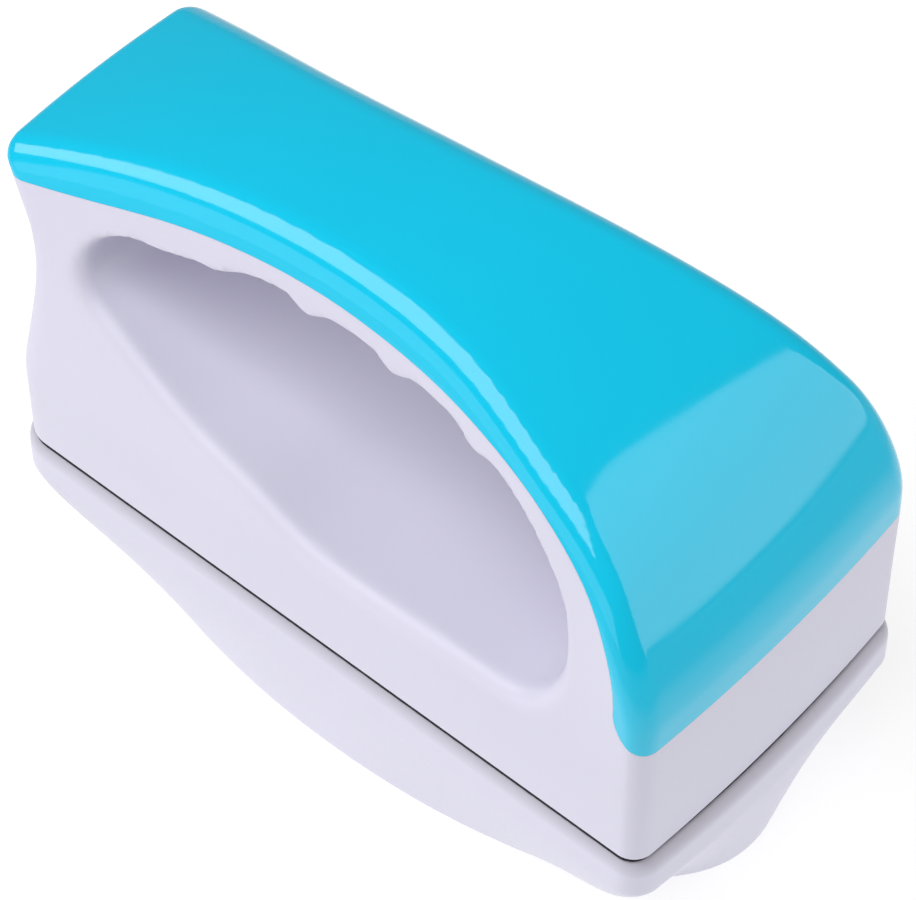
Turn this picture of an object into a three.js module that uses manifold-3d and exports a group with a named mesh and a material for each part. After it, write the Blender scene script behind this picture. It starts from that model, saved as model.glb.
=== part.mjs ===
// Two-part magnetic board eraser: a handle half with a teal cover and a hand
// hole, clamped by magnets to a hull-shaped lower half, with thin dark felt
// pads between the two. Millimetres, +Z up, +X towards the covered end.
// The origin is the centre of the flat oval that the eraser rests on.
import * as THREE from 'three';
import { mergeVertices } from 'three/addons/utils/BufferGeometryUtils.js';
import Module from 'manifold-3d';

const wasm = await Module();
wasm.setup();

// ---- driving dimensions -------------------------------------------------

// heights from the floor
const FELT = 0.7; // one felt pad, as squeezed by the magnets
const FELT_INSET = 0.2; // the pads stop short of the handle half's outline
const RIM_TOP = 35.1; // flat top of the lower half
const SEAM = RIM_TOP + 2 * FELT; // underside of the handle half

// handle half: its own heights start at its underside
const BASE_HALF_LENGTH = 76.5;
const BASE_HALF_WIDTH = 37.2;
const END_BOW = 1.6; // how far the covered end swells out in plan
const END_CORNER = 4; // radius of the upright corners at the covered end
const TIP_CORNER = 7.2; // and at the tip end
const SHARPEST_CORNER = 0.5; // inner corners are never sharper than this
const LEAN_START = 19; // side walls are upright below, and lean in above
const TIP_LEAN = 0.225; // how much the sides lean in per mm at the tip end
const END_FLARE = 0.02; // how much they lean out per mm at the covered end
const CROWN_RADIUS = 5.8; // rounding between the side walls and the top
const CROWN_BULGE = 1.2; // how far the top swells up between its two edges
const COVER_WALL = 2.2;
const COVER_GAP = 0.3;
const SHELL_WALL = 2.4;
const SEAM_DROP_RADIUS = 8; // lower corner of the cover on each side
const COVER_FOOT = 31.6; // lower edge of the cover on the end face
const SEAM_DROP_X = 69.5; // where the joint runs straight down each side

// lower half
const RIM_HALF_LENGTH = 78.3;
const RIM_HALF_WIDTH = 37.9;
const RIM_TIP_CORNER = 9;
const RIM_END_CORNER = 6;
const RIM_EDGE = 2.2; // softened upper edge of the rim: how far in
const RIM_EDGE_DROP = 3.5; // and how far down
const RIM_EDGE_STEPS = 3;
const RIM_FOOT = 26.5; // the rim is upright down to here
const OVAL_HALF_LENGTH = 75.5;
const OVAL_HALF_WIDTH = 35.2;
const OVAL_POWER = 2.08; // superellipse power of the flat bottom
const HULL_POWER = 1.27; // how the hull draws in from the rim to the oval
const HULL_WALL = 2.6;
const HULL_FLOOR = 3;

// inner pieces, the same in both halves
const PLATE = 2.6; // thickness of the two closing plates
const MAGNET = { x: 30, y: 22, z: 8 };
const MAGNET_SPOTS = [[-19, -13.5], [19, -13.5], [-19, 13.5], [19, 13.5]];
const FRAME_WALL = 1.5; // rib round each magnet
const FRAME_HEIGHT = 5;
const YOKE = { x: 74, y: 54, z: 1.5 };
const SCREW = { head: 2.9, headHeight: 1.4, shank: 1.5, length: 11, tip: 2 };
const SCREW_CLEARANCE = 0.2;
const BOSS_RADIUS = 4;

// finger ridges under the grip
const RIDGE_PITCH = 20.7;
const RIDGE_FIRST = -33.2;
const RIDGE_DEPTHS = [1.1, 1.9, 2, 1.9];
const RIDGE_SHARPNESS = 3;

const ARC_STEPS = 4; // steps in a quarter circle
const HULL_SIDE_STEPS = 12; // steps along each long side of the hull

// ---- helpers ------------------------------------------------------------

// A closed geometry as a solid that can be joined and cut.
function solid(geometry) {
  const bare = new THREE.BufferGeometry();
  bare.setAttribute('position', geometry.getAttribute('position'));
  bare.setIndex(geometry.getIndex());
  const merged = mergeVertices(bare, 1e-4);
  return new wasm.Manifold(new wasm.Mesh({
    numProp: 3,
    vertProperties: new Float32Array(merged.getAttribute('position').array),
    triVerts: new Uint32Array(merged.getIndex().array),
  }));
}

function geometryOf(manifold) {
  const mesh = manifold.getMesh();
  const geometry = new THREE.BufferGeometry();
  geometry.setAttribute('position', new THREE.BufferAttribute(mesh.vertProperties, 3));
  geometry.setIndex(new THREE.BufferAttribute(mesh.triVerts, 1));
  geometry.computeVertexNormals();
  return geometry;
}

// Skin through closed rings of equal point counts, with a flat cap at each end.
// Each ring runs counter-clockwise, seen from the side that the rings lead to.
function loft(rings) {
  const count = rings[0].length;
  const points = rings.flat();
  const index = [];
  for (let r = 0; r + 1 < rings.length; r += 1) {
    for (let i = 0; i < count; i += 1) {
      const a = r * count + i;
      const b = r * count + ((i + 1) % count);
      index.push(a, b, b + count, a, b + count, a + count);
    }
  }
  const last = (rings.length - 1) * count;
  const centre = (ring) => ring.reduce((sum, p) => sum.add(p), new THREE.Vector3())
    .divideScalar(count);
  points.push(centre(rings[0]), centre(rings[rings.length - 1]));
  for (let i = 0; i < count; i += 1) {
    const next = (i + 1) % count;
    index.push(points.length - 2, next, i);
    index.push(points.length - 1, last + i, last + next);
  }
  const geometry = new THREE.BufferGeometry().setFromPoints(points);
  geometry.setIndex(index);
  return geometry;
}

// Points on an arc, both ends included.
function arc(cx, cy, radius, from, to, steps = ARC_STEPS) {
  const points = [];
  for (let i = 0; i <= steps; i += 1) {
    const angle = from + ((to - from) * i) / steps;
    points.push([cx + radius * Math.cos(angle), cy + radius * Math.sin(angle)]);
  }
  return points;
}

function box(x, y, z, cx, cy, cz) {
  return new THREE.BoxGeometry(x, y, z).translate(cx, cy, cz);
}

function cylinder(radius, bottom, top, cx, cy, segments = 16) {
  const geometry = new THREE.CylinderGeometry(radius, radius, top - bottom, segments);
  return geometry.rotateX(Math.PI / 2).translate(cx, cy, (bottom + top) / 2);
}

// A side-view outline (x, z) made into a bar along Y, centred on the object.
function bar(outline, width) {
  const shape = new THREE.Shape(outline.map(([x, z]) => new THREE.Vector2(x, z)));
  const geometry = new THREE.ExtrudeGeometry(shape, { depth: width, bevelEnabled: false });
  return geometry.rotateX(Math.PI / 2).translate(0, width / 2, 0);
}

// A plan outline (x, y) made into a plate between two heights.
function plate(outline, bottom, top) {
  const shape = new THREE.Shape(outline.map(([x, y]) => new THREE.Vector2(x, y)));
  const geometry = new THREE.ExtrudeGeometry(shape, { depth: top - bottom, bevelEnabled: false });
  return geometry.translate(0, 0, bottom);
}

function curvePoints(points, count) {
  const curve = new THREE.SplineCurve(points.map(([x, y]) => new THREE.Vector2(x, y)));
  return curve.getSpacedPoints(count).map((p) => [p.x, p.y]);
}

// Points strictly between two ends of a straight line.
function between([ax, ay], [bx, by], steps) {
  const points = [];
  for (let i = 1; i < steps; i += 1) {
    const t = i / steps;
    points.push([ax + (bx - ax) * t, ay + (by - ay) * t]);
  }
  return points;
}

// Rounded rectangle in plan, counter-clockwise, with the +X side bowed out.
function roundedPlan({ left, right, leftHalf, rightHalf, radii, bow, sideSteps = 1 }) {
  const quarter = Math.PI / 2;
  const [atLeft, atRight] = radii;
  const corners = [
    arc(left + atLeft, atLeft - leftHalf, atLeft, -2 * quarter, -quarter),
    arc(right - atRight, atRight - rightHalf, atRight, -quarter, 0),
    arc(right - atRight, rightHalf - atRight, atRight, 0, quarter),
    arc(left + atLeft, leftHalf - atLeft, atLeft, quarter, 2 * quarter),
  ];
  const straight = rightHalf - atRight;
  const bowed = between([right, -straight], [right, straight], 2 * ARC_STEPS)
    .map(([x, y]) => [x + bow * (1 - (y / straight) ** 2), y]);
  return [
    ...corners[0],
    ...between(corners[0][ARC_STEPS], corners[1][0], sideSteps),
    ...corners[1],
    ...bowed,
    ...corners[2],
    ...between(corners[2][ARC_STEPS], corners[3][0], sideSteps),
    ...corners[3],
    ...between(corners[3][ARC_STEPS], corners[0][0], Math.ceil(sideSteps / 2)),
  ];
}

// ---- outer form of the handle half --------------------------------------

// Upper edge of the sides as [x, half width, height], tip end to covered end.
const CROWN_LINE = [
  [-92, 29.2, 58.6], [-70.5, 25.4, 66.6], [-46.5, 22.1, 73.4], [-22.5, 20.9, 78], [1.5, 21.6, 80.2],
  [25.5, 24.9, 78.7], [43.5, 29.4, 73.6], [61.5, 33.9, 64.8], [66.5, 35.5, 60.2], [70.5, 36.7, 54.9],
  [73.8, 37.3, 49.6], [76.4, 37.6, 43.8], [78.3, 37.7, 37], [80.5, 37.7, 27],
];
const CROWN_STATIONS = 26;

// Profile of the tip end as [x, height]: upright, a waist, then the pointed tip.
const TIP_PROFILE = [
  [-76.5, -1], [-76.5, 20], [-76.4, 37], [-78.4, 46.5], [-83.2, 53.8], [-85.6, 58], [-84.6, 61.3],
  [-80, 65.4], [-72, 70], [-60, 84],
];
const TIP_LEVELS = 18;

// Cross-section of the crown at one station, inset from the outer skin.
function crownSection(x, half, height, inset) {
  const wall = BASE_HALF_WIDTH - inset.side;
  const radius = Math.max(CROWN_RADIUS - inset.side, 1);
  const cy = half - inset.side - radius;
  const cz = height - inset.top - radius;
  const toFoot = new THREE.Vector2(wall - cy, LEAN_START - cz);
  const start = toFoot.angle() + Math.acos(Math.min(radius / toFoot.length(), 1)) - 2 * Math.PI;
  const right = arc(cy, cz, radius, start, Math.PI / 2);
  const left = right.map(([y, z]) => [-y, z]).reverse();
  const swell = [0.5, 0, -0.5].map((t) => [
    t * cy,
    height - inset.top + CROWN_BULGE * (1 - t * t),
  ]);
  const ring = [
    [-wall, -1], [wall, -1], [wall, LEAN_START], ...right, ...swell, ...left, [-wall, LEAN_START],
  ];
  return ring.map(([y, z]) => new THREE.Vector3(x, y, z));
}

// Sides and arched top, run out past both ends.
function crownLoft(inset) {
  const curve = new THREE.CatmullRomCurve3(CROWN_LINE.map(([x, y, z]) => new THREE.Vector3(x, y, z)));
  const stations = curve.getSpacedPoints(CROWN_STATIONS);
  return loft(stations.map((p) => crownSection(p.x, p.y, p.z, inset)));
}

// Both ends with their rounded upright corners, run out past the top.
function endLoft(inset) {
  const rings = curvePoints(TIP_PROFILE, TIP_LEVELS).map(([x, z]) => {
    const above = Math.max(z - LEAN_START, 0);
    const outline = roundedPlan({
      left: x + inset.end,
      right: BASE_HALF_LENGTH - inset.end,
      leftHalf: BASE_HALF_WIDTH - above * TIP_LEAN - inset.side,
      rightHalf: BASE_HALF_WIDTH + above * END_FLARE - inset.side,
      radii: [TIP_CORNER, END_CORNER].map((r) => Math.max(r - inset.end, SHARPEST_CORNER)),
      bow: END_BOW,
    });
    return outline.map(([px, py]) => new THREE.Vector3(px, py, z));
  });
  return loft(rings);
}

// The handle half's outer form, drawn in by the given amounts.
function handleForm(side, top, end) {
  const inset = { side, top, end };
  return solid(crownLoft(inset)).intersect(solid(endLoft(inset)));
}

// Side view of everything above the joint between the cover and the shell.
function coverRegion() {
  const joint = curvePoints([
    [-95, 54.2], [-77, 58.2], [-63.5, 61.7], [-45.5, 66.8], [-27, 70.9], [-8, 73.4], [6, 73.9],
    [19.5, 73.6], [33, 72.2], [43.7, 69.7], [55, 64.5], [61, 59.9], [66.4, 52.4], [69.2, 43.6],
    [SEAM_DROP_X, 40.4],
  ], 34);
  const corner = arc(
    SEAM_DROP_X + SEAM_DROP_RADIUS,
    COVER_FOOT + SEAM_DROP_RADIUS,
    SEAM_DROP_RADIUS,
    Math.PI,
    1.5 * Math.PI,
  );
  return [...joint, ...corner, [95, COVER_FOOT], [95, 100], [-95, 100]];
}

// ---- the hand hole ------------------------------------------------------

// Drop of the ridges between the fingers at one place along the grip.
function ridge(x) {
  const phase = (x - RIDGE_FIRST) / RIDGE_PITCH;
  const nearest = Math.round(phase);
  if (nearest < 0 || nearest >= RIDGE_DEPTHS.length) {
    return 0;
  }
  return RIDGE_DEPTHS[nearest] * Math.cos(Math.PI * (phase - nearest)) ** (2 * RIDGE_SHARPNESS);
}

// Side view of the hand hole: an arched roof with finger ridges over a floor
// that slopes up towards the tip end.
function handHole() {
  const roof = curvePoints([
    [-60, 54.7], [-56, 57.7], [-45.5, 60.4], [-36, 63.5], [-24.5, 67.2], [-12.5, 69.1], [0, 70],
    [8.2, 70.4], [18, 70.3], [28.9, 69.4], [38, 67.3], [46, 63.2], [52, 57.8],
  ], 44).map(([x, z]) => [x, z - ridge(x)]);
  const rest = curvePoints([
    [55, 53.2], [56.6, 48], [56.6, 40.5], [54.6, 33], [51.6, 27.4], [47.4, 24.4], [40, 23.1],
    [30, 22.7], [19, 22.2], [8, 21.9], [0, 22.3], [-8, 23.6], [-16.5, 26], [-32, 29.6],
    [-39.4, 31.9], [-47.3, 35], [-55.3, 38.6], [-60.6, 41.7], [-62.9, 45.6], [-62.7, 50],
  ], 26);
  return [...roof, ...rest].reverse();
}

// The same outline grown outwards by a wall.
function grown(outline, wall) {
  return outline.map(([x, z], i) => {
    const before = outline[(i + outline.length - 1) % outline.length];
    const after = outline[(i + 1) % outline.length];
    const along = new THREE.Vector2(after[0] - before[0], after[1] - before[1]).normalize();
    return [x + along.y * wall, z - along.x * wall];
  });
}

// ---- handle half --------------------------------------------------------

const HANDLE_BOSSES = [[-60, -24], [60, -24], [-60, 24], [60, 24]];
const CHAMBER = [
  [-80, -2], [80, -2], [80, 17.5], [56, 17.5], [48, 18.8], [2, 18.8], [-16, 21.5], [-38, 27], [-62, 36],
  [-80, 36],
];
const GRIP_POCKET = [[-66, 100], [-66, 50], [0, 50], [0, 32], [80, 32], [80, 100]];

function handleShell() {
  const region = coverRegion();
  const below = solid(bar(region, 120).translate(-COVER_GAP, 0, -COVER_GAP));
  const coreInset = COVER_WALL + COVER_GAP;
  const hole = handHole();
  let shell = handleForm(0, 0, 0).subtract(below);
  shell = shell.add(handleForm(coreInset, coreInset, coreInset));
  const chamber = handleForm(SHELL_WALL, SHELL_WALL, SHELL_WALL).intersect(solid(bar(CHAMBER, 120)));
  const wall = 2 * SHELL_WALL;
  const pocket = handleForm(wall, -SHELL_WALL, wall)
    .intersect(solid(bar(GRIP_POCKET, 120)))
    .subtract(solid(bar(grown(hole, SHELL_WALL), 130)));
  shell = shell.subtract(chamber).subtract(pocket);
  shell = shell.subtract(solid(box(200, 120, 10, 0, 0, -5)));
  for (const [x, y] of HANDLE_BOSSES) {
    const roof = x < 0 ? 36 : 19;
    shell = shell.add(solid(cylinder(BOSS_RADIUS, PLATE, roof, x, y)));
    shell = shell.subtract(solid(cylinder(SCREW.shank + SCREW_CLEARANCE, 0, 14, x, y)));
  }
  return geometryOf(shell.subtract(solid(bar(hole, 130))));
}

function topCover() {
  const outer = handleForm(0, 0, 0).intersect(solid(bar(coverRegion(), 120)));
  return geometryOf(outer.subtract(handleForm(COVER_WALL, COVER_WALL, COVER_WALL)));
}

// ---- lower half ---------------------------------------------------------

const HULL_BOSSES = [[-52, -18], [52, -18], [-52, 18], [52, 18]];

// Plan outline of the hull, blended from the rim (0) to the oval bottom (1).
function hullRing(blend, inset, z) {
  const rim = roundedPlan({
    left: inset - RIM_HALF_LENGTH,
    right: RIM_HALF_LENGTH - inset,
    leftHalf: RIM_HALF_WIDTH - inset,
    rightHalf: RIM_HALF_WIDTH - inset,
    radii: [RIM_TIP_CORNER - inset, RIM_END_CORNER - inset],
    bow: END_BOW,
    sideSteps: HULL_SIDE_STEPS,
  });
  return rim.map(([x, y]) => {
    const u = Math.abs(x) / (OVAL_HALF_LENGTH - inset);
    const v = Math.abs(y) / (OVAL_HALF_WIDTH - inset);
    const onOval = (u ** OVAL_POWER + v ** OVAL_POWER) ** (-1 / OVAL_POWER);
    const scale = 1 + (onOval - 1) * blend;
    return new THREE.Vector3(x * scale, y * scale, z);
  });
}

function hullLoft(inset, bottom) {
  const rings = [];
  const levels = 7;
  for (let i = 0; i <= levels; i += 1) {
    const z = bottom + ((RIM_FOOT - bottom) * i) / levels;
    rings.push(hullRing((1 - z / RIM_FOOT) ** HULL_POWER, inset, z));
  }
  return rings;
}

function lowerShell() {
  const outer = hullLoft(0, 0);
  for (const [inward, upward] of arc(1, 0, 1, Math.PI, Math.PI / 2, RIM_EDGE_STEPS)) {
    outer.push(hullRing(0, RIM_EDGE * inward, RIM_TOP - RIM_EDGE_DROP * (1 - upward)));
  }
  const inner = hullLoft(HULL_WALL, HULL_FLOOR);
  inner.push(hullRing(0, HULL_WALL, RIM_TOP + 1));
  let shell = solid(loft(outer)).subtract(solid(loft(inner)));
  for (const [x, y] of HULL_BOSSES) {
    const top = RIM_TOP - PLATE;
    shell = shell.add(solid(cylinder(BOSS_RADIUS, HULL_FLOOR - 1, top, x, y)));
    shell = shell.subtract(solid(cylinder(SCREW.shank + SCREW_CLEARANCE, top - 14, top + 1, x, y)));
  }
  return geometryOf(shell);
}

// ---- pieces that both halves share --------------------------------------

// Closing plate, 0 to PLATE thick. Its screw heads sink into the face at 0 and
// its magnet frames stand on the other face.
function closingPlate(outline, bosses) {
  let body = solid(plate(outline, 0, PLATE));
  for (const [x, y] of MAGNET_SPOTS) {
    const outerX = MAGNET.x + 2 * (FRAME_WALL + COVER_GAP);
    const outerY = MAGNET.y + 2 * (FRAME_WALL + COVER_GAP);
    const height = FRAME_HEIGHT + 1;
    const frame = solid(box(outerX, outerY, height, x, y, PLATE - 1 + height / 2));
    const innerX = MAGNET.x + 2 * COVER_GAP;
    const innerY = MAGNET.y + 2 * COVER_GAP;
    body = body.add(frame).subtract(solid(box(innerX, innerY, 20, x, y, PLATE + 10)));
  }
  for (const [x, y] of bosses) {
    const headRoom = SCREW.head + SCREW_CLEARANCE;
    body = body.subtract(solid(cylinder(SCREW.shank + SCREW_CLEARANCE, -1, PLATE + 1, x, y)));
    body = body.subtract(solid(cylinder(headRoom, -1, SCREW.headHeight, x, y)));
  }
  return geometryOf(body);
}

// Pan-head screw, head at the bottom, pointing up.
function screwGeometry() {
  const profile = [
    [0, 0], [SCREW.head - 0.5, 0], [SCREW.head, 0.5], [SCREW.head, SCREW.headHeight],
    [SCREW.shank, SCREW.headHeight], [SCREW.shank, SCREW.length - SCREW.tip], [0, SCREW.length],
  ];
  const points = profile.map(([x, y]) => new THREE.Vector2(x, y));
  return new THREE.LatheGeometry(points, 12).rotateX(Math.PI / 2);
}

function platePlan(halfLength, halfWidth, radii) {
  return roundedPlan({
    left: -halfLength,
    right: halfLength,
    leftHalf: halfWidth,
    rightHalf: halfWidth,
    radii,
    bow: END_BOW,
  });
}

// A felt pad with its underside at the given height.
function feltPad(bottom) {
  const halfLength = BASE_HALF_LENGTH - FELT_INSET;
  const outline = platePlan(halfLength, BASE_HALF_WIDTH - FELT_INSET, [TIP_CORNER, END_CORNER]);
  return plate(outline, bottom, bottom + FELT);
}

// ---- materials ----------------------------------------------------------

function material(color, roughness, metalness = 0) {
  return new THREE.MeshStandardMaterial({ color, roughness, metalness });
}

const WHITE_PLASTIC = material(0xe4e1ee, 0.45);
const TEAL_PLASTIC = material(0x1fbde0, 0.12);
const DARK_FELT = material(0x17172b, 0.95);
const MAGNET_NICKEL = material(0xb4b6ba, 0.3, 0.9);
const YOKE_STEEL = material(0x8f959b, 0.4, 0.9);
const SCREW_STEEL = material(0xa9adb2, 0.35, 0.9);

// ---- assembly -----------------------------------------------------------

const eraser = new THREE.Group();

function addPiece(parent, name, geometry, look) {
  const mesh = new THREE.Mesh(geometry, look);
  mesh.name = name;
  parent.add(mesh);
  return mesh;
}

// Magnets, yoke, closing plate and screws of one half, seen from its felt face:
// height 0 is the felt face of the plate, and heights grow into the half.
function addInsides(parent, prefix, outline, bosses) {
  addPiece(parent, `${prefix}_closing_plate`, closingPlate(outline, bosses), WHITE_PLASTIC);
  MAGNET_SPOTS.forEach(([x, y], i) => {
    const block = box(MAGNET.x, MAGNET.y, MAGNET.z, 0, 0, MAGNET.z / 2);
    const magnet = addPiece(parent, `${prefix}_magnet_${i + 1}`, block, MAGNET_NICKEL);
    magnet.position.set(x, y, PLATE);
  });
  const yoke = box(YOKE.x, YOKE.y, YOKE.z, 0, 0, PLATE + MAGNET.z + YOKE.z / 2);
  addPiece(parent, `${prefix}_steel_yoke`, yoke, YOKE_STEEL);
  bosses.forEach(([x, y], i) => {
    const screw = addPiece(parent, `${prefix}_plate_screw_${i + 1}`, screwGeometry(), SCREW_STEEL);
    screw.position.set(x, y, 0);
  });
}

function addHandleHalf() {
  const half = new THREE.Group();
  half.position.z = SEAM;
  eraser.add(half);
  addPiece(half, 'handle_shell', handleShell(), WHITE_PLASTIC);
  addPiece(half, 'top_cover', topCover(), TEAL_PLASTIC);
  const gap = SHELL_WALL + COVER_GAP;
  const radii = [TIP_CORNER - gap, END_CORNER - gap];
  const outline = platePlan(BASE_HALF_LENGTH - gap, BASE_HALF_WIDTH - gap, radii);
  addInsides(half, 'handle', outline, HANDLE_BOSSES);
  addPiece(half, 'handle_felt_pad', feltPad(-FELT), DARK_FELT);
}

function addLowerHalf() {
  const half = new THREE.Group();
  eraser.add(half);
  addPiece(half, 'lower_shell', lowerShell(), WHITE_PLASTIC);
  const insides = new THREE.Group();
  insides.position.z = RIM_TOP;
  insides.rotation.x = Math.PI;
  half.add(insides);
  const gap = HULL_WALL + COVER_GAP;
  const radii = [RIM_TIP_CORNER - gap, RIM_END_CORNER - gap];
  const outline = platePlan(RIM_HALF_LENGTH - gap, RIM_HALF_WIDTH - gap, radii);
  addInsides(insides, 'lower', outline, HULL_BOSSES);
  addPiece(half, 'lower_felt_pad', feltPad(RIM_TOP), DARK_FELT);
}

addHandleHalf();
addLowerHalf();

export default eraser;
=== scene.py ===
"""Magnetic board eraser: a handle half with a teal cover, held to a hull-shaped lower half.

The outer skins are made from smooth distance fields and lofts in millimetres, in the CAD
frame, and stand in for the CAD's faceted skins. The inner pieces are the CAD's own.
"""

import math

import bpy
import numpy as np
from mathutils import Matrix, Quaternion, Vector


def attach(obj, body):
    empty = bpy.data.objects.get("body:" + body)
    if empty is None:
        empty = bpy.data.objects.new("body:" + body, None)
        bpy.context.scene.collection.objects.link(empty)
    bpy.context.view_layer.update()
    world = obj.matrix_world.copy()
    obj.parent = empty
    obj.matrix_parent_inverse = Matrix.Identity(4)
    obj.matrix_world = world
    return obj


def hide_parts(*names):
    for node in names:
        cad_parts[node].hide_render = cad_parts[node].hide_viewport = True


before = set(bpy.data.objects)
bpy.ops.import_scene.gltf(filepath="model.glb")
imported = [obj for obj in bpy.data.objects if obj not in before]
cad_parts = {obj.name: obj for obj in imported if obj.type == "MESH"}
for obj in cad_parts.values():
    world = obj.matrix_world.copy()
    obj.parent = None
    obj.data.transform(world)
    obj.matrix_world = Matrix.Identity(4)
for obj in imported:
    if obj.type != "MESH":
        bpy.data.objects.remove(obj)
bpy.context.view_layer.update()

MM = 0.001

# ---- driving dimensions, in millimetres ----------------------------------

RIM_TOP = 35.1  # top of the lower half
FELT = 0.7  # one felt pad
FELT_INSET = 0.2  # the pads stop short of the handle half's outline
FELT_EDGE = 0.3  # how round a pad's edge is, 0 for square
SEAM = RIM_TOP + 2 * FELT  # underside of the handle half

BASE_HALF_LENGTH = 76.5
BASE_HALF_WIDTH = 37.2
END_BOW = 1.6  # how far the covered end swells out in plan
END_CORNER = 4.0  # radius of the upright corners at the covered end
TIP_CORNER = 7.2  # and at the tip end
CORNER_BLEND = 20.0  # the corners change over this far each side of the middle
EDGE_BLEND = (50.0, 30.0)  # crown rounding above the first height, upright corners below the second
LEAN_START = 19.0  # side walls are upright below, and lean in above
LEAN_BLEND = 3.0  # softness of the line where the sides begin to lean
CROWN_RADIUS = 5.8  # rounding between the side walls and the top
CROWN_BULGE = 1.2  # how far the arched top swells up between its two edges
END_ROUND = 13.5  # rounding between the arched top and the covered end
TIP_ROUND = 3.2  # and between the arched top and the tip end
COVER_FOOT = 31.6  # lower edge of the cover on the end face
SEAM_DROP_X = 69.5  # where the joint runs straight down each side
SEAM_DROP_RADIUS = 8.0  # lower corner of the cover on each side
SEAM_GAP = 0.05  # hairline between cover and shell
SKIN = 1.6  # thickness of the visible skins

# upper edge of the sides: x, half width, height above the seam
CROWN_LINE = [
    (-92, 29.2, 58.6), (-70.5, 25.4, 66.6), (-46.5, 22.1, 73.4), (-22.5, 20.9, 78.0),
    (1.5, 21.6, 80.2), (25.5, 24.9, 78.7), (43.5, 29.4, 73.6), (61.5, 33.9, 64.8),
    (72.0, 37.2, 55.6), (80.0, 38.0, 50.2), (90.0, 38.4, 43.6),
]
# tip end: x against height above the seam
TIP_PROFILE = [
    (-76.5, -10), (-76.5, 6), (-76.5, 20), (-76.3, 32), (-76.6, 40), (-78.6, 47),
    (-82.0, 52.4), (-85.6, 58.0), (-88.6, 62.5), (-93, 70),
]

# finger ridges under the grip
RIDGE_PITCH = 20.7
RIDGE_FIRST = -33.2
RIDGE_DEPTHS = (1.1, 1.9, 2.0, 1.9)
RIDGE_SHARPNESS = 3

# side view of the hand hole, as x against height above the seam: its roof, then the rest
HOLE_EDGE_AT_FLOOR = 3.4  # radius of the hole's edge
HOLE_EDGE_AT_ROOF = 0.9
HOLE_ROOF = [
    (-60, 54.7), (-56, 57.7), (-45.5, 60.4), (-36, 63.5), (-24.5, 67.2), (-12.5, 69.1), (0, 70),
    (8.2, 70.4), (18, 70.3), (28.9, 69.4), (38, 67.3), (46, 63.2), (52, 57.8),
]
HOLE_REST = [
    (55, 53.2), (56.6, 48), (56.6, 40.5), (54.6, 33), (51.6, 27.4), (47.4, 24.4), (40, 23.1),
    (30, 22.7), (19, 22.2), (8, 21.9), (0, 22.3), (-8, 23.6), (-16.5, 26), (-32, 29.6),
    (-39.4, 31.9), (-47.3, 35), (-55.3, 38.6), (-60.6, 41.7), (-62.9, 45.6), (-62.7, 50),
]
# side view of the joint between cover and shell
SEAM_LINE = [
    (-95, 54.2), (-77, 58.2), (-63.5, 61.7), (-45.5, 66.8), (-27, 70.9), (-8, 73.4), (6, 73.9),
    (19.5, 73.6), (33, 72.2), (43.7, 69.7), (55, 64.5), (61, 59.9), (66.4, 52.4), (69.2, 43.6),
    (69.5, 40.4),
]

# lower half
RIM_HALF_LENGTH = 78.3
RIM_HALF_WIDTH = 37.9
RIM_TIP_CORNER = 9.0
RIM_END_CORNER = 6.0
RIM_EDGE = 2.2  # softened upper edge of the rim: how far in
RIM_EDGE_DROP = 3.5  # and how far down
RIM_FOOT = 26.5  # the rim is upright down to here
OVAL_HALF_LENGTH = 75.5
OVAL_HALF_WIDTH = 35.2
OVAL_POWER = 2.08  # superellipse power of the flat bottom
HULL_POWER = 1.27  # how the hull draws in from the rim to the oval
FOOT_EDGE = 2.0  # rounding round the flat bottom
HULL_WALL = 2.6
HULL_FLOOR = 3.0

CELL = 0.95  # size of a grid cell when a field is turned into a mesh
SNAP = 0.02  # a cut passes through points nearer to it than this
CUT_ROUNDS = 14  # halvings that find where a cut crosses an edge

# studio, in metres
FLOOR_HALF_SIZE = 3.0
GLOW_FADE = (0.205, 0.3)  # the floor's own light fades out between these distances
GLOW = (0.7, 0.22)  # its strength under the object, and past the fade

# camera, fitted to the photograph's perspective
CAMERA_AZIMUTH = 41.2
CAMERA_ELEVATION = 50.8
CAMERA_DISTANCE = 749.0
CAMERA_AIM = (-4.5, 8.2, 44.8)
CAMERA_LENS = 157.2


# ---- curves ---------------------------------------------------------------


def natural_spline(knots, values, at):
    """Natural cubic spline through values at knots, run on as straight lines past the ends."""
    knots, values = np.asarray(knots, float), np.asarray(values, float)
    n = len(knots)
    h = np.diff(knots)
    matrix = np.eye(n)
    right = np.zeros(n)
    for i in range(1, n - 1):
        matrix[i, i - 1 : i + 2] = h[i - 1], 2 * (h[i - 1] + h[i]), h[i]
        right[i] = 6 * ((values[i + 1] - values[i]) / h[i] - (values[i] - values[i - 1]) / h[i - 1])
    bend = np.linalg.solve(matrix, right)
    at = np.asarray(at, float)
    inside = np.clip(at, knots[0], knots[-1])
    k = np.clip(np.searchsorted(knots, inside) - 1, 0, n - 2)
    a = (knots[k + 1] - inside) / h[k]
    b = 1 - a
    out = a * values[k] + b * values[k + 1]
    out += ((a**3 - a) * bend[k] + (b**3 - b) * bend[k + 1]) * h[k] ** 2 / 6
    start = (values[1] - values[0]) / h[0] - h[0] * bend[1] / 6
    end = (values[-1] - values[-2]) / h[-1] + h[-1] * bend[-2] / 6
    return out + np.minimum(at - knots[0], 0) * start + np.maximum(at - knots[-1], 0) * end


def table(function, low, high, steps=2000):
    """A fast stand-in for a slow function of one number."""
    xs = np.linspace(low, high, steps)
    ys = function(xs)
    return lambda x: np.interp(x, xs, ys)


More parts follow.
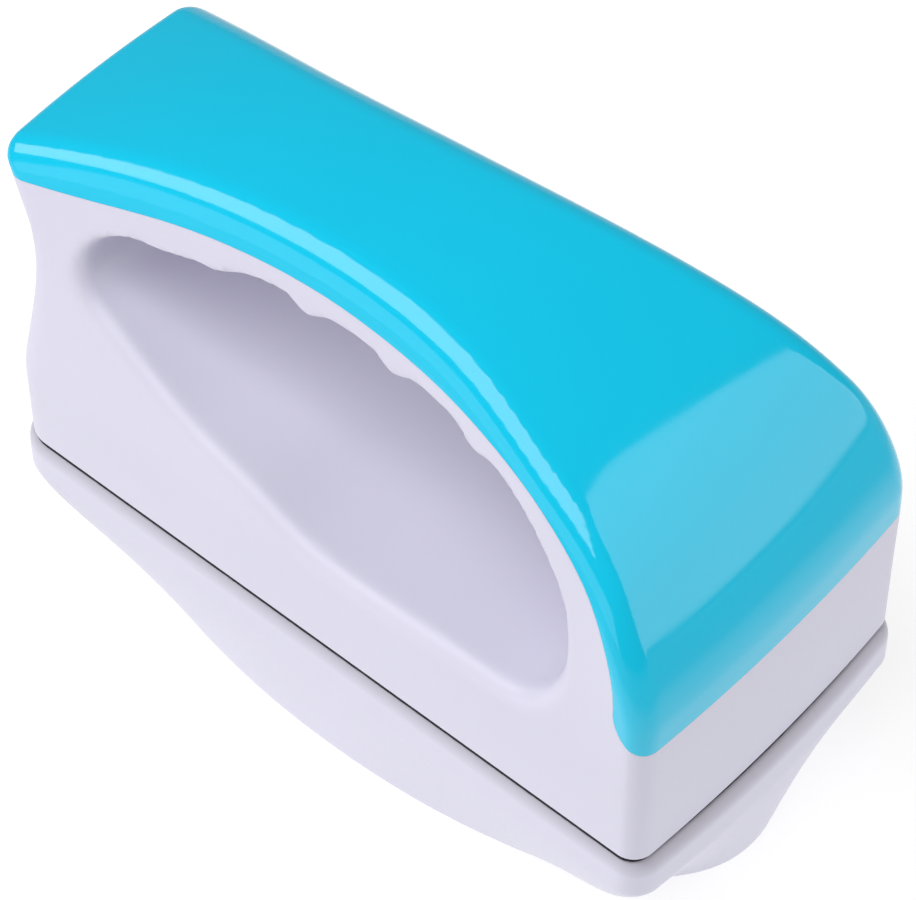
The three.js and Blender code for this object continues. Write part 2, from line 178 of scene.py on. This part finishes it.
def spline_points(points, count):
    """Points spread along a smooth curve through the given points, ends included."""
    points = np.asarray(points, float)
    along = np.r_[0, np.cumsum(np.linalg.norm(np.diff(points, axis=0), axis=1))]
    at = np.linspace(0, along[-1], count)
    return np.stack([natural_spline(along, points[:, i], at) for i in range(2)], 1)


def smooth_step(low, high, x):
    t = np.clip((x - low) / (high - low), 0, 1)
    return t * t * (3 - 2 * t)


def soft_max(a, b, width):
    """The larger of two, rounded over where they cross."""
    h = np.maximum(width - np.abs(a - b), 0) / width
    return np.maximum(a, b) + h * h * width / 4


def round_and(a, b, radius):
    """Both fields' solid, with the edge where they meet rounded."""
    u = np.maximum(radius + a, 0)
    v = np.maximum(radius + b, 0)
    return np.minimum(-radius, np.maximum(a, b)) + np.hypot(u, v)


def outline_distance(points, x, z):
    """Signed distance to a closed outline, negative inside."""
    x, z = np.ravel(x), np.ravel(z)
    best = np.full(x.shape, np.inf)
    inside = np.zeros(x.shape, bool)
    for (ax, az), (bx, bz) in zip(points, np.roll(points, -1, axis=0)):
        ex, ez = bx - ax, bz - az
        px, pz = x - ax, z - az
        t = np.clip((px * ex + pz * ez) / (ex * ex + ez * ez), 0, 1)
        best = np.minimum(best, (px - t * ex) ** 2 + (pz - t * ez) ** 2)
        crosses = (az > z) != (bz > z)
        if az != bz:
            inside ^= crosses & (px < ex * pz / ez)
    return np.where(inside, -1, 1) * np.sqrt(best)


class OutlineField:
    """An outline's signed distance, kept on a fine grid and read back smoothly."""

    def __init__(self, points, low, high, step=0.4):
        self.low, self.step = np.array(low, float), step
        xs = np.arange(low[0], high[0] + step, step)
        zs = np.arange(low[1], high[1] + step, step)
        grid = np.meshgrid(xs, zs, indexing="ij")
        self.values = outline_distance(points, *grid).reshape(len(xs), len(zs))

    def __call__(self, x, z):
        u = np.clip((x - self.low[0]) / self.step, 0, self.values.shape[0] - 1.001)
        v = np.clip((z - self.low[1]) / self.step, 0, self.values.shape[1] - 1.001)
        i, j = u.astype(int), v.astype(int)
        s, t = u - i, v - j
        near = self.values[i, j] * (1 - t) + self.values[i, j + 1] * t
        far = self.values[i + 1, j] * (1 - t) + self.values[i + 1, j + 1] * t
        return near * (1 - s) + far * s


# ---- the handle half's outer form as a field --------------------------------

_crown = np.array(CROWN_LINE, float)
_tip = np.array(TIP_PROFILE, float)
crown_half = table(lambda x: natural_spline(_crown[:, 0], _crown[:, 1], x), -100, 95)
crown_height = table(lambda x: natural_spline(_crown[:, 0], _crown[:, 2], x), -100, 95)
tip_x = table(lambda h: natural_spline(_tip[:, 1], _tip[:, 0], h), -12, 95)


def slope_scale(function, x, step=0.5):
    """Turns a height above a curve into a distance from it."""
    slope = (function(x + step) - function(x - step)) / (2 * step)
    return 1 / np.sqrt(1 + slope * slope)


def ridge(x):
    """Drop of the ridges between the fingers at one place along the grip."""
    phase = (x - RIDGE_FIRST) / RIDGE_PITCH
    nearest = np.round(phase)
    depth = np.interp(nearest, range(len(RIDGE_DEPTHS)), RIDGE_DEPTHS, left=0, right=0)
    return depth * np.abs(np.cos(np.pi * (phase - nearest))) ** (2 * RIDGE_SHARPNESS)


def hand_hole_outline():
    roof = spline_points(HOLE_ROOF, 160)
    roof[:, 1] -= ridge(roof[:, 0])
    # one smooth closed run: the rest of the outline is splined on from the roof's ends
    rest = spline_points(np.vstack([roof[-8], roof[-1], HOLE_REST, roof[0], roof[8]]), 170)
    start = np.argmin(np.hypot(*(rest - roof[-1]).T))
    end = np.argmin(np.hypot(*(rest - roof[0]).T))
    return np.vstack([roof, rest[start + 1 : end]])


hole_field = OutlineField(hand_hole_outline(), (-95, -5), (95, 90))


def side_half_width(x, h):
    """Half width of the handle half at length x and height h above the seam."""
    top = crown_height(x) - CROWN_RADIUS
    lean = (crown_half(x) - BASE_HALF_WIDTH) / (top - LEAN_START)
    above = soft_max(h - LEAN_START, np.zeros_like(h), LEAN_BLEND)
    return BASE_HALF_WIDTH + lean * above, lean


def handle_form(x, y, h):
    """Field of the handle half's outer form, before the hand hole is cut."""
    half, lean = side_half_width(x, h)
    side = (np.abs(y) - half) / np.sqrt(1 + lean * lean)
    swell = CROWN_BULGE * np.maximum(1 - (y / crown_half(x)) ** 2, -0.5)
    top = (h - crown_height(x) - swell) * slope_scale(crown_height, x)
    end = x - BASE_HALF_LENGTH - END_BOW * (1 - (y / BASE_HALF_WIDTH) ** 2)
    tip = (tip_x(h) - x) * slope_scale(tip_x, h)
    length = round_and(round_and(top, end, END_ROUND), tip, TIP_ROUND)
    corner = TIP_CORNER + (END_CORNER - TIP_CORNER) * smooth_step(-CORNER_BLEND, CORNER_BLEND, x)
    edge = CROWN_RADIUS + (corner - CROWN_RADIUS) * smooth_step(*EDGE_BLEND, h)
    return round_and(length, side, edge)


def hole_edge_radius(x, h):
    """How softly the hand hole's edge is rounded: crisp at its roof, soft along its floor."""
    roof = smooth_step(44, 60, h + 0.10 * (x + 60))
    return HOLE_EDGE_AT_FLOOR + (HOLE_EDGE_AT_ROOF - HOLE_EDGE_AT_FLOOR) * roof


def handle_solid(x, y, h):
    form = handle_form(x, y, h)
    return round_and(form, -hole_field(x, h), hole_edge_radius(x, h))


# ---- meshes from fields -----------------------------------------------------


def project(points, field, rounds=4, step=0.05):
    """Moves points onto the surface where the field is zero."""
    for _ in range(rounds):
        value = field(*points.T)
        gradient = np.stack(
            [
                field(*(points + np.eye(3)[i] * step).T) - field(*(points - np.eye(3)[i] * step).T)
                for i in range(3)
            ],
            1,
        ) / (2 * step)
        length = np.maximum((gradient**2).sum(1), 0.2)
        points = points - np.clip(value / length, -0.8, 0.8)[:, None] * gradient
    return points


def surface_net(field, low, high):
    """Quads over the surface where the field is zero: one point in each cell that it crosses."""
    axes = [np.arange(low[i], high[i] + CELL, CELL) for i in range(3)]
    values = np.empty([len(a) for a in axes])
    for i, x in enumerate(axes[0]):
        y, z = np.meshgrid(axes[1], axes[2], indexing="ij")
        values[i] = field(np.full(y.shape, x), y, z)
    n = [len(a) - 1 for a in axes]
    total = np.zeros([*n, 3])
    count = np.zeros(n)
    quads = []
    corners = [(0, 0), (1, 0), (1, 1), (0, 1)]
    for axis in range(3):
        u, v = (axis + 1) % 3, (axis + 2) % 3
        a = np.moveaxis(values, [axis, u, v], [0, 1, 2])
        crossing = np.argwhere((a[:-1] < 0) != (a[1:] < 0))
        keep = (crossing[:, 1:] > 0).all(1)
        keep &= (crossing[:, 1] < a.shape[1] - 1) & (crossing[:, 2] < a.shape[2] - 1)
        crossing = crossing[keep]
        first = a[tuple(crossing.T)]
        second = a[crossing[:, 0] + 1, crossing[:, 1], crossing[:, 2]]
        place = crossing.astype(float)
        place[:, 0] += first / (first - second)
        point = np.empty_like(place)
        point[:, axis], point[:, u], point[:, v] = place.T
        quad = []
        for du, dv in corners:
            index = np.empty_like(crossing)
            index[:, axis] = crossing[:, 0]
            index[:, u] = crossing[:, 1] - 1 + du
            index[:, v] = crossing[:, 2] - 1 + dv
            np.add.at(total, tuple(index.T), point)
            np.add.at(count, tuple(index.T), 1)
            quad.append(np.ravel_multi_index(index.T, n))
        quad = np.stack(quad, 1)
        quads.append(np.where((first < 0)[:, None], quad, quad[:, ::-1]))
    used = np.flatnonzero(count.ravel())
    number = np.full(count.size, -1)
    number[used] = np.arange(len(used))
    points = total.reshape(-1, 3)[used] / count.ravel()[used][:, None] * CELL
    points += [a[0] for a in axes]
    return points, number[np.vstack(quads)]


def triangles_of(quads):
    return np.vstack([quads[:, [0, 1, 2]], quads[:, [0, 2, 3]]])


def clip(points, triangles, field):
    """Keeps what is on the field's negative side, cut exactly along the line where it is zero."""
    value = field(*points.T)
    value = np.where(np.abs(value) < SNAP, 0, value)
    keep = value <= 0
    state = keep[triangles]
    whole = triangles[state.all(1)]
    cut = triangles[state.any(1) & ~state.all(1)]
    new_points, made, out = list(points), {}, []

    def crossing(a, b):
        key = (min(a, b), max(a, b))
        if key not in made:
            pa, pb, va = points[a], points[b], value[a]
            if va == 0:
                made[key] = a
                return a
            low, high = (pa, pb) if va < 0 else (pb, pa)
            for _ in range(CUT_ROUNDS):
                middle = (low + high) / 2
                if field(*middle[:, None])[0] < 0:
                    low = middle
                else:
                    high = middle
            made[key] = len(new_points)
            new_points.append((low + high) / 2)
        return made[key]

    for tri in cut:
        tri = list(tri)
        inside = [keep[i] for i in tri]
        turn = inside.index(True) if sum(inside) == 1 else (inside.index(False) + 1) % 3
        a, b, c = tri[turn:] + tri[:turn]
        if sum(inside) == 1:
            ab, ac = crossing(a, b), crossing(a, c)
            out.append((a, ab, ac))
        else:
            bc, ac = crossing(b, c), crossing(a, c)
            out.append((a, b, bc))
            out.append((a, bc, ac))
    out = [t for t in out if len(set(t)) == 3]
    triangles = np.vstack([whole, np.array(out, int).reshape(-1, 3)])
    used = np.unique(triangles)
    number = np.full(len(new_points), -1)
    number[used] = np.arange(len(used))
    return np.array(new_points)[used], number[triangles]


def add_mesh(name, points, faces):
    """A smooth-shaded mesh object from points in millimetres."""
    mesh = bpy.data.meshes.new(name)
    mesh.from_pydata((np.asarray(points) * MM).tolist(), [], [list(map(int, f)) for f in faces])
    mesh.validate()
    mesh.update()
    mesh.shade_smooth()
    piece = bpy.data.objects.new(name, mesh)
    bpy.context.scene.collection.objects.link(piece)
    return piece


def apply_modifiers(piece):
    depsgraph = bpy.context.evaluated_depsgraph_get()
    mesh = bpy.data.meshes.new_from_object(piece.evaluated_get(depsgraph))
    piece.modifiers.clear()
    old = piece.data
    piece.data = mesh
    bpy.data.meshes.remove(old)
    mesh.name = piece.name


def thicken(piece, thickness):
    """Gives an open skin a wall, inwards, with squared edges."""
    solidify = piece.modifiers.new("wall", "SOLIDIFY")
    solidify.thickness = thickness * MM
    solidify.offset = -1
    solidify.use_even_offset = False
    apply_modifiers(piece)


def sharpen(piece, angle=40):
    piece.data.shade_smooth()
    piece.data.set_sharp_from_angle(angle=math.radians(angle))


# ---- skins of the handle half ----------------------------------------------


def cover_outline():
    """Side view of everything above the joint between cover and shell."""
    joint = spline_points(SEAM_LINE, 150)
    turn = np.linspace(math.pi, 1.5 * math.pi, 24)
    centre = (SEAM_DROP_X + SEAM_DROP_RADIUS, COVER_FOOT + SEAM_DROP_RADIUS)
    corner = np.stack([centre[0] + SEAM_DROP_RADIUS * np.cos(turn),
                       centre[1] + SEAM_DROP_RADIUS * np.sin(turn)], 1)
    frame_points = [(99, COVER_FOOT), (99, 99), (-99, 99), (-99, 55)]
    return np.vstack([joint, corner, frame_points])


cover_field = OutlineField(cover_outline(), (-92, 5), (92, 95))


def make_handle_skins():
    low, high = (-90, -40, -4), (82, 40, 84)
    points, quads = surface_net(handle_solid, low, high)
    points = project(points, handle_solid)
    triangles = triangles_of(quads)
    shell_points, shell_triangles = clip(points, triangles, lambda x, y, h: -h)
    shell = clip(shell_points, shell_triangles, lambda x, y, h: SEAM_GAP - cover_field(x, h))
    cover = clip(points, triangles, lambda x, y, h: cover_field(x, h))
    made = []
    for name, (p, t) in (("handle_shell_skin", shell), ("top_cover_skin", cover)):
        piece = add_mesh(name, p + [0, 0, SEAM], t)
        thicken(piece, SKIN)
        sharpen(piece)
        made.append(piece)
    return made


# ---- skin of the lower half -------------------------------------------------


def rounded_plan(left, right, half, radii, bow, per_corner=14, per_side=60, per_end=30):
    """Rounded rectangle in plan, counter-clockwise, with the +X side bowed out."""
    at_left, at_right = radii

    def corner(cx, cy, radius, start):
        turn = np.radians(np.linspace(start, start + 90, per_corner))
        return np.stack([cx + radius * np.cos(turn), cy + radius * np.sin(turn)], 1)

    def run(a, b, steps):
        t = np.linspace(0, 1, steps + 1)[1:-1, None]
        return np.array(a) * (1 - t) + np.array(b) * t

    corners = [
        corner(left + at_left, at_left - half, at_left, 180),
        corner(right - at_right, at_right - half, at_right, 270),
        corner(right - at_right, half - at_right, at_right, 0),
        corner(left + at_left, half - at_left, at_left, 90),
    ]
    straight = half - at_right
    bowed = run(corners[1][-1], corners[2][0], per_end)
    bowed[:, 0] += bow * (1 - (bowed[:, 1] / straight) ** 2)
    return np.vstack([
        corners[0], run(corners[0][-1], corners[1][0], per_side),
        corners[1], bowed,
        corners[2], run(corners[2][-1], corners[3][0], per_side),
        corners[3], run(corners[3][-1], corners[0][0], per_end),
    ])


def hull_ring(blend, inset, z):
    rim = rounded_plan(inset - RIM_HALF_LENGTH, RIM_HALF_LENGTH - inset, RIM_HALF_WIDTH - inset,
                       (RIM_TIP_CORNER - inset, RIM_END_CORNER - inset), END_BOW)
    u = np.abs(rim[:, 0]) / (OVAL_HALF_LENGTH - inset)
    v = np.abs(rim[:, 1]) / (OVAL_HALF_WIDTH - inset)
    on_oval = (u**OVAL_POWER + v**OVAL_POWER) ** (-1 / OVAL_POWER)
    ring = rim * (1 + (on_oval - 1) * blend)[:, None]
    return np.c_[ring, np.full(len(ring), z)]


def loft_faces(rings, count):
    faces = []
    for r in range(rings - 1):
        for i in range(count):
            j = (i + 1) % count
            faces.append((r * count + i, r * count + j, (r + 1) * count + j, (r + 1) * count + i))
    return faces


def make_lower_skin():
    rings = []
    # the bottom edge is rounded from the flat oval up to the hull
    for angle in np.radians(np.linspace(90, 0, 7)):
        drop = FOOT_EDGE * (1 - math.sin(angle))
        inset = FOOT_EDGE * (1 - math.cos(angle))
        rings.append(hull_ring((1 - drop / RIM_FOOT) ** HULL_POWER, inset, drop))
    for z in np.linspace(FOOT_EDGE, RIM_FOOT, 40)[1:]:
        rings.append(hull_ring((1 - z / RIM_FOOT) ** HULL_POWER, 0, z))
    for z in np.linspace(RIM_FOOT, RIM_TOP - RIM_EDGE_DROP, 8)[1:]:
        rings.append(hull_ring(0, 0, z))
    for angle in np.radians(np.linspace(0, 90, 12)[1:]):
        inset = RIM_EDGE * (1 - math.cos(angle))
        rings.append(hull_ring(0, inset, RIM_TOP - RIM_EDGE_DROP * (1 - math.sin(angle))))
    # flat top of the rim, then down the inside to the floor
    rings.append(hull_ring(0, HULL_WALL, RIM_TOP))
    for z in np.linspace(RIM_FOOT, HULL_FLOOR, 16):
        rings.append(hull_ring((1 - z / RIM_FOOT) ** HULL_POWER, HULL_WALL, z))
    count = len(rings[0])
    points = np.vstack(rings)
    faces = loft_faces(len(rings), count)
    faces.append(tuple(range(count))[::-1])
    faces.append(tuple(range(len(points) - count, len(points))))
    piece = add_mesh("lower_shell_skin", points, faces)
    sharpen(piece)
    return piece


# ---- felt pads --------------------------------------------------------------


def make_felt_pad(name, bottom, top, seed):
    """A felt sheet with soft, slightly uneven edges."""
    rng = np.random.default_rng(seed)
    soft = (top - bottom) / 2
    rings = []
    for angle in np.radians(np.linspace(-90, 90, 7)):
        edge = FELT_INSET + soft * FELT_EDGE * (1 - math.cos(angle))
        half_length, half_width = BASE_HALF_LENGTH - edge, BASE_HALF_WIDTH - edge
        plan = rounded_plan(-half_length, half_length, half_width, (TIP_CORNER, END_CORNER),
                            END_BOW, per_side=160, per_end=80)
        z = (bottom + top) / 2 + soft * math.sin(angle)
        rings.append(np.c_[plan, np.full(len(plan), z)])
    count = len(rings[0])
    uneven = rng.normal(0, 0.05, count)
    uneven = (uneven + np.roll(uneven, 1) + np.roll(uneven, -1)) / 3
    for ring in rings:
        ring[:, :2] *= 1 - np.abs(uneven)[:, None] / 60
    points = np.vstack(rings)
    faces = loft_faces(len(rings), count)
    faces.append(tuple(range(count))[::-1])
    faces.append(tuple(range(len(points) - count, len(points))))
    piece = add_mesh(name, points, faces)
    sharpen(piece)
    return piece


# ---- materials --------------------------------------------------------------


def new_material(name):
    material = bpy.data.materials.new(name)
    material.use_nodes = True
    tree = material.node_tree
    shader = tree.nodes["Principled BSDF"]
    return material, tree, shader


def noise(tree, scale, detail=3.0, roughness=0.5):
    coordinates = tree.nodes.new("ShaderNodeTexCoord")
    node = tree.nodes.new("ShaderNodeTexNoise")
    node.inputs["Scale"].default_value = scale
    node.inputs["Detail"].default_value = detail
    node.inputs["Roughness"].default_value = roughness
    tree.links.new(coordinates.outputs["Object"], node.inputs["Vector"])
    return node.outputs["Fac"]


def spread(tree, value, low, high, out_low, out_high):
    node = tree.nodes.new("ShaderNodeMapRange")
    node.inputs["From Min"].default_value = low
    node.inputs["From Max"].default_value = high
    node.inputs["To Min"].default_value = out_low
    node.inputs["To Max"].default_value = out_high
    tree.links.new(value, node.inputs["Value"])
    return node.outputs["Result"]


def two_colours(tree, value, first, second):
    """Mixes two colours; the first may be another node's output."""
    node = tree.nodes.new("ShaderNodeMix")
    node.data_type = "RGBA"
    if isinstance(first, tuple):
        node.inputs["A"].default_value = (*first, 1)
    else:
        tree.links.new(first, node.inputs["A"])
    node.inputs["B"].default_value = (*second, 1)
    tree.links.new(value, node.inputs["Factor"])
    return node.outputs["Result"]


def bump(tree, shader, value, strength, distance_mm):
    node = tree.nodes.new("ShaderNodeBump")
    node.inputs["Strength"].default_value = strength
    node.inputs["Distance"].default_value = distance_mm * MM
    tree.links.new(value, node.inputs["Height"])
    tree.links.new(node.outputs["Normal"], shader.inputs["Normal"])


def teal_plastic():
    material, tree, shader = new_material("teal_gloss_plastic")
    mottling = noise(tree, 30, 2)
    colour = two_colours(tree, mottling, (0.001, 0.535, 0.775), (0.002, 0.555, 0.805))
    tree.links.new(colour, shader.inputs["Base Color"])
    gloss = spread(tree, noise(tree, 260, 3), 0.3, 0.7, 0.08, 0.11)
    tree.links.new(gloss, shader.inputs["Roughness"])
    shader.inputs["IOR"].default_value = 1.5
    bump(tree, shader, noise(tree, 90, 1), 0.03, 0.2)
    return material


def height_above_floor(tree):
    coordinates = tree.nodes.new("ShaderNodeTexCoord")
    split = tree.nodes.new("ShaderNodeSeparateXYZ")
    tree.links.new(coordinates.outputs["Object"], split.inputs["Vector"])
    return split.outputs["Z"]


def distance_from_centre(tree):
    coordinates = tree.nodes.new("ShaderNodeTexCoord")
    length = tree.nodes.new("ShaderNodeVectorMath")
    length.operation = "LENGTH"
    tree.links.new(coordinates.outputs["Object"], length.inputs[0])
    return length.outputs["Value"]


def white_plastic(name, painted_rim_shade=False):
    material, tree, shader = new_material(name)
    mottling = noise(tree, 24, 3)
    colour = two_colours(tree, mottling, (0.64, 0.625, 0.745), (0.66, 0.645, 0.765))
    if painted_rim_shade:
        # painted shade: the colour darkens towards the top of the rim's softened edge, under the
        # joint, standing in for the shade that falls there
        low, high = (RIM_TOP - RIM_EDGE_DROP) * MM, RIM_TOP * MM
        edge = spread(tree, height_above_floor(tree), low, high, 0, 1)
        colour = two_colours(tree, edge, colour, (0.44, 0.42, 0.485))
    tree.links.new(colour, shader.inputs["Base Color"])
    satin = spread(tree, noise(tree, 900, 4), 0.3, 0.7, 0.34, 0.44)
    tree.links.new(satin, shader.inputs["Roughness"])
    shader.inputs["IOR"].default_value = 1.5
    bump(tree, shader, noise(tree, 1500, 2), 0.05, 0.05)
    return material


def dark_felt():
    material, tree, shader = new_material("dark_felt")
    fibres = noise(tree, 2600, 6, 0.7)
    colour = two_colours(tree, fibres, (0.002, 0.002, 0.006), (0.012, 0.012, 0.026))
    tree.links.new(colour, shader.inputs["Base Color"])
    shader.inputs["Roughness"].default_value = 0.95
    shader.inputs["Sheen Weight"].default_value = 0.05
    bump(tree, shader, fibres, 0.8, 0.25)
    return material


def metal(name, light, dark, roughness, scale=700):
    material, tree, shader = new_material(name)
    grain = noise(tree, scale, 4)
    tree.links.new(two_colours(tree, grain, dark, light), shader.inputs["Base Color"])
    shader.inputs["Metallic"].default_value = 1
    low, high = roughness
    tree.links.new(spread(tree, grain, 0.3, 0.7, low, high), shader.inputs["Roughness"])
    bump(tree, shader, grain, 0.1, 0.03)
    return material


def paint(piece, material):
    piece.data.materials.clear()
    piece.data.materials.append(material)


def repaint(node, material):
    """Gives a CAD node that stays as it is a finished material."""
    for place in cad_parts[node].material_slots:
        place.material = material


# ---- stage ------------------------------------------------------------------


def make_floor():
    mesh = bpy.data.meshes.new("floor")
    size = FLOOR_HALF_SIZE
    corners = [(-size, -size, 0), (size, -size, 0), (size, size, 0), (-size, size, 0)]
    mesh.from_pydata(corners, [], [(0, 1, 2, 3)])
    floor = bpy.data.objects.new("floor", mesh)
    bpy.context.scene.collection.objects.link(floor)
    material, tree, shader = new_material("floor_white_painted_glow")
    shader.inputs["Base Color"].default_value = (0.4, 0.4, 0.4, 1)
    shader.inputs["Roughness"].default_value = 0.9
    shader.inputs["Specular IOR Level"].default_value = 0.1
    shader.inputs["Emission Color"].default_value = (1, 1, 1, 1)
    # painted light: the floor glows, brightest under the object, where it fills in the object's
    # shadow and lights it from below, fading out so that the cover's far edge doesn't reflect it
    glow = spread(tree, distance_from_centre(tree), *GLOW_FADE, *GLOW)
    tree.links.new(glow, shader.inputs["Emission Strength"])
    mesh.materials.append(material)


def add_softbox(name, place, aim, width, height, power, turn=0):
    light = bpy.data.lights.new(name, "AREA")
    light.shape = "RECTANGLE"
    light.size, light.size_y = width, height
    light.energy = power
    lamp = bpy.data.objects.new(name, light)
    lamp.location = place
    direction = Vector(aim) - Vector(place)
    facing = direction.to_track_quat("-Z", "Y")
    lamp.rotation_euler = (facing @ Quaternion((0, 0, 1), math.radians(turn))).to_euler()
    bpy.context.scene.collection.objects.link(lamp)


def make_lights():
    bpy.context.scene.view_settings.view_transform = "Standard"
    world = bpy.data.worlds.new("studio")
    bpy.context.scene.world = world
    world.use_nodes = True
    background = world.node_tree.nodes["Background"]
    background.inputs["Color"].default_value = (1, 1, 1, 1)
    background.inputs["Strength"].default_value = 0.2
    # overhead, one edge near the object: the bright strip along the near crown edge
    add_softbox("overhead_softbox", (-0.87, -0.66, 1.05), (-0.87, -0.66, 0), 2.6, 0.72, 21.5,
                turn=9)
    # tall and upright behind the covered end: the bright panel on the right slope
    add_softbox("end_softbox", (1.08, 0.72, 1.19), (0.12, -0.15, 1.19), 1.0, 2.3, 13.4)
    add_softbox("front_softbox", (-0.2, -1.5, 0.45), (0, 0, 0.3), 2.4, 0.8, 6.2)


def make_camera():
    azimuth, elevation = math.radians(CAMERA_AZIMUTH), math.radians(CAMERA_ELEVATION)
    back = Vector((math.sin(azimuth) * math.cos(elevation),
                   -math.cos(azimuth) * math.cos(elevation), math.sin(elevation)))
    right = Vector((math.cos(azimuth), math.sin(azimuth), 0))
    up = back.cross(right)
    data = bpy.data.cameras.new("camera")
    data.sensor_width = 36
    data.lens = CAMERA_LENS
    data.clip_start = 0.05
    data.clip_end = 20
    camera = bpy.data.objects.new("camera", data)
    place = (Vector(CAMERA_AIM) + back * CAMERA_DISTANCE) * MM
    turn = Matrix((right, up, back)).transposed().to_4x4()
    camera.matrix_world = Matrix.Translation(place) @ turn
    bpy.context.scene.collection.objects.link(camera)
    bpy.context.scene.camera = camera


# ---- putting it together ------------------------------------------------------


def main():
    make_camera()
    make_lights()
    make_floor()

    white = white_plastic("white_satin_plastic")
    # this copy of the white plastic has painted shade along the rim's upper edge
    white_with_painted_rim_shade = white_plastic("white_satin_plastic_rim_painted_shade", painted_rim_shade=True)
    teal, felt = teal_plastic(), dark_felt()
    nickel = metal("magnet_nickel", (0.75, 0.75, 0.76), (0.6, 0.6, 0.61), (0.18, 0.3))
    steel = metal("yoke_steel", (0.48, 0.49, 0.5), (0.38, 0.39, 0.4), (0.35, 0.5))
    zinc = metal("screw_zinc", (0.66, 0.67, 0.68), (0.5, 0.51, 0.52), (0.25, 0.4))

    shell, cover = make_handle_skins()
    lower = make_lower_skin()
    pads = [
        make_felt_pad("handle_felt", SEAM - FELT, SEAM, 1),
        make_felt_pad("lower_felt", RIM_TOP, RIM_TOP + FELT, 2),
    ]
    finishes = [
        (shell, white, "shell_plastic", "handle_half", "handle_shell"),
        (cover, teal, "cover_plastic", "handle_half", "top_cover"),
        (lower, white_with_painted_rim_shade, "shell_plastic", "lower_half", "lower_shell"),
        (pads[0], felt, "felt", "handle_half", "handle_felt_pad"),
        (pads[1], felt, "felt", "lower_half", "lower_felt_pad"),
    ]
    for piece, material, slot, body, node in finishes:
        paint(piece, material)
        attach(piece, body)
        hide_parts(node)

    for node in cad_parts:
        if "magnet" in node:
            repaint(node, nickel)
        elif "yoke" in node:
            repaint(node, steel)
        elif "screw" in node:
            repaint(node, zinc)
        elif "closing_plate" in node:
            repaint(node, white)


main()
